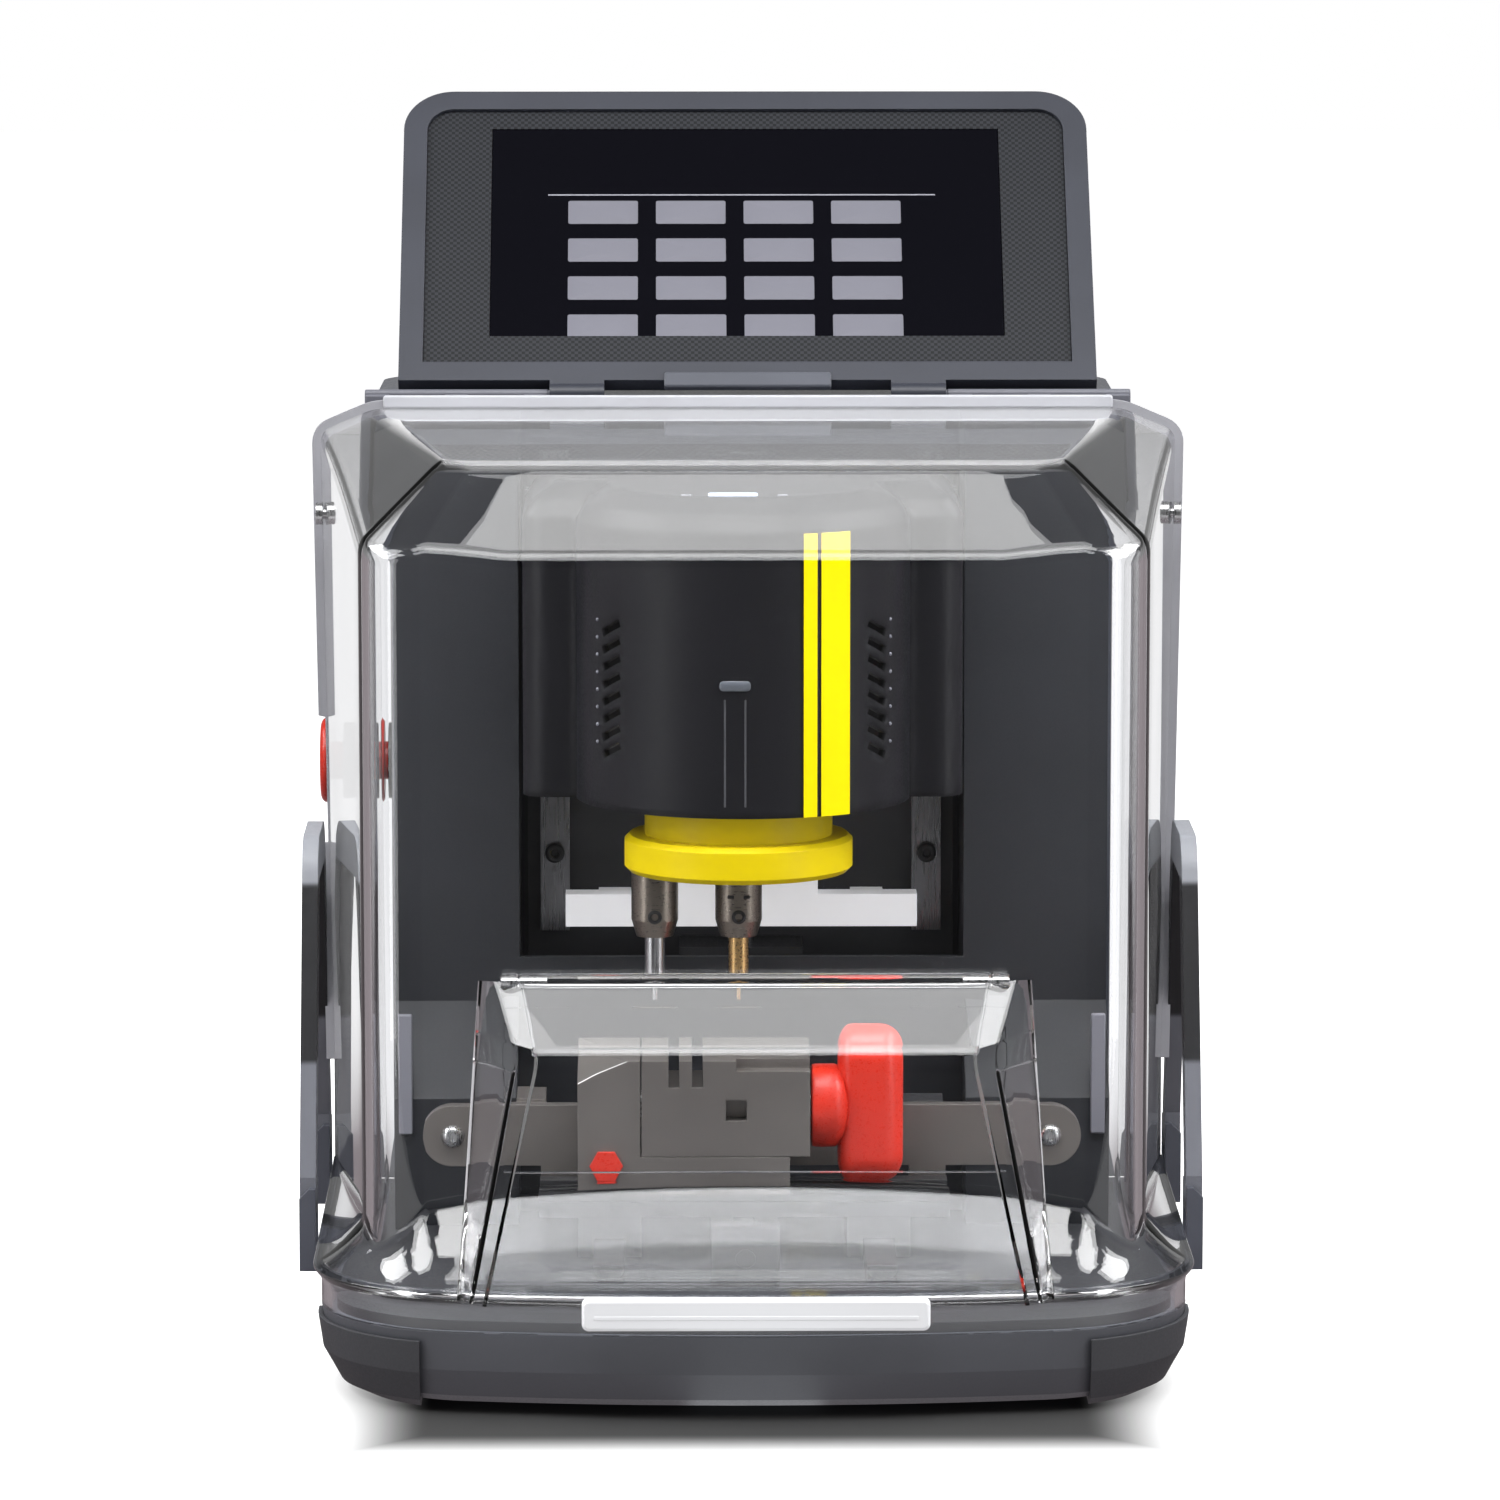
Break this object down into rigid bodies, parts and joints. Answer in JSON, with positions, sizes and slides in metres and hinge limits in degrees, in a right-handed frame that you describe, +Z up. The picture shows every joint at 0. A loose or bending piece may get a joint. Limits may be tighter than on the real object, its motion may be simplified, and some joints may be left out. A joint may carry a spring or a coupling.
{
  "type": "key duplicating machine",
  "caption": "Bench key cutter with a clear hood and lifting door, a probe and cutter head over a key clamp on a two-axis table, and a tilting touch panel.",
  "frame": {"origin": "on the bench under the middle of the machine's outer box", "axes": "+X to the machine's right seen from the front, +Y to its rear, +Z up"},
  "size_m": [0.273, 0.3515, 0.365],
  "materials": {
    "tray_plastic": "textured dark grey",
    "slate_plastic": "satin slate grey",
    "liner_plastic": "fine texture, dark grey",
    "clear_plastic": "clear polished acrylic",
    "black_plastic": "satin black",
    "foot_rubber": "matt",
    "yellow_paint": "gloss yellow",
    "yellow_film": "gloss yellow film",
    "red_plastic": "glossy red",
    "clamp_steel": "blasted grey-brown steel",
    "bright_steel": "ground",
    "tool_coating": "golden coating",
    "alloy": "machined",
    "motor_can": "black",
    "belt_rubber": "matt",
    "lamp_white": "white diffuser",
    "display_glass": "black glass",
    "board": "circuit board"
  },
  "bodies": {
    "frame": {"base_tray": "tray_plastic", "corner_feet": "foot_rubber", "base_deck": "alloy", "hood": "clear_plastic", "hood_screws": "bright_steel", "door_hinge_pins": "bright_steel", "handle_brackets": "slate_plastic", "rear_housing": "slate_plastic", "stop_collar": "black_plastic", "chamber_liner": "liner_plastic", "column": "alloy", "z_rails": "clamp_steel", "y_rails": "bright_steel", "light_bar": "lamp_white", "axis_motors": "motor_can", "screw_bearings": "alloy", "panel_hinges": "slate_plastic", "control_board": "board", "power_supply": "motor_can", "power_inlet": "black_plastic"},
    "door": {"door_panel": "clear_plastic"},
    "left_handle": {"handle_left": "slate_plastic"},
    "right_handle": {"handle_right": "slate_plastic"},
    "stop": {"stop_button": "red_plastic"},
    "touch_panel": {"panel_bezel": "slate_plastic", "panel_faceplate": "black_plastic", "panel_display": "display_glass", "panel_back": "slate_plastic"},
    "rocker": {"power_rocker": "black_plastic"},
    "head": {"head_blocks": "bright_steel", "head_plate": "alloy", "head_cover": "black_plastic", "head_stripes": "yellow_film", "spindle_housing": "yellow_paint", "guard_ring": "yellow_paint", "probe_holder": "clamp_steel", "probe": "bright_steel", "spindle_motor": "motor_can", "drive_belt": "belt_rubber"},
    "spindle": {"spindle_shaft": "bright_steel", "cutter_collet": "clamp_steel", "cutter": "tool_coating"},
    "motor_rotor": {"motor_pulley": "bright_steel"},
    "lift_screw": {"z_screw": "bright_steel"},
    "saddle": {"saddle_plate": "alloy", "saddle_blocks": "bright_steel", "cross_beam": "clamp_steel", "x_rails": "bright_steel", "x_motor": "motor_can"},
    "saddle_screw": {"y_screw": "bright_steel"},
    "table": {"table_plate": "alloy", "table_blocks": "bright_steel", "clamp_body": "clamp_steel", "clamp_badge": "red_plastic"},
    "table_screw": {"x_screw": "bright_steel"},
    "jaw": {"clamp_jaw": "clamp_steel"},
    "knob": {"clamp_knob": "red_plastic", "clamp_screw": "bright_steel"}
  },
  "joints": [
    {"name": "door_swing", "type": "hinge", "parent": "frame", "child": "door", "pos_m": [0, -0.1448, 0.1247], "axis": [-1, 0, 0], "range_deg": [0, 100]},
    {"name": "left_handle_fold", "type": "hinge", "parent": "frame", "child": "left_handle", "pos_m": [-0.13405, 0.018, 0.037], "axis": [0, -1, 0], "range_deg": [0, 90]},
    {"name": "right_handle_fold", "type": "hinge", "parent": "frame", "child": "right_handle", "pos_m": [0.13405, 0.018, 0.037], "axis": [0, 1, 0], "range_deg": [0, 90]},
    {"name": "stop_press", "type": "slide", "parent": "frame", "child": "stop", "axis": [1, 0, 0], "range_m": [0, 0.0025], "stiffness_N_per_m": 800},
    {"name": "panel_tilt", "type": "hinge", "parent": "frame", "child": "touch_panel", "pos_m": [0, 0.0615, 0.2759], "axis": [1, 0, 0], "range_deg": [-12, 30]},
    {"name": "rocker_switch", "type": "hinge", "parent": "frame", "child": "rocker", "pos_m": [-0.046, 0.17, 0.058], "axis": [1, 0, 0], "range_deg": [0, 16]},
    {"name": "head_lift", "type": "slide", "parent": "frame", "child": "head", "axis": [0, 0, 1], "range_m": [-0.01, 0.01]},
    {"name": "lift_screw_turn", "type": "hinge", "parent": "frame", "child": "lift_screw", "pos_m": [-0.0025, 0.031, 0.18], "axis": [0, 0, 1], "range_deg": [-1801, 1801]},
    {"name": "spindle_turn", "type": "hinge", "parent": "head", "child": "spindle", "pos_m": [-0.004, -0.06, 0.18], "axis": [0, 0, 1], "continuous": true},
    {"name": "motor_turn", "type": "hinge", "parent": "head", "child": "motor_rotor", "pos_m": [-0.004, -0.012, 0.23], "axis": [0, 0, 1], "continuous": true},
    {"name": "saddle_slide", "type": "slide", "parent": "frame", "child": "saddle", "axis": [0, 1, 0], "range_m": [-0.015, 0.015]},
    {"name": "saddle_screw_turn", "type": "hinge", "parent": "frame", "child": "saddle_screw", "pos_m": [-0.0025, -0.05, 0.0385], "axis": [0, 1, 0], "range_deg": [-2701, 2701]},
    {"name": "table_slide", "type": "slide", "parent": "saddle", "child": "table", "axis": [1, 0, 0], "range_m": [-0.018, 0.018]},
    {"name": "table_screw_turn", "type": "hinge", "parent": "saddle", "child": "table_screw", "pos_m": [-0.02, -0.031, 0.062], "axis": [1, 0, 0], "range_deg": [-3241, 3241]},
    {"name": "jaw_slide", "type": "slide", "parent": "table", "child": "jaw", "axis": [1, 0, 0], "range_m": [0, 0.006]},
    {"name": "knob_turn", "type": "hinge", "parent": "jaw", "child": "knob", "pos_m": [0.02, -0.072, 0.076], "axis": [1, 0, 0], "range_deg": [0, 1081]}
  ],
  "couplings": [
    {"joint": "lift_screw_turn", "follows": "head_lift", "rad_per_m": 3141.6},
    {"joint": "saddle_screw_turn", "follows": "saddle_slide", "rad_per_m": 3141.6},
    {"joint": "table_screw_turn", "follows": "table_slide", "rad_per_m": 3141.6},
    {"joint": "knob_turn", "follows": "jaw_slide", "rad_per_m": 3141.6},
    {"joint": "motor_turn", "follows": "spindle_turn", "ratio": 1.2}
  ]
}
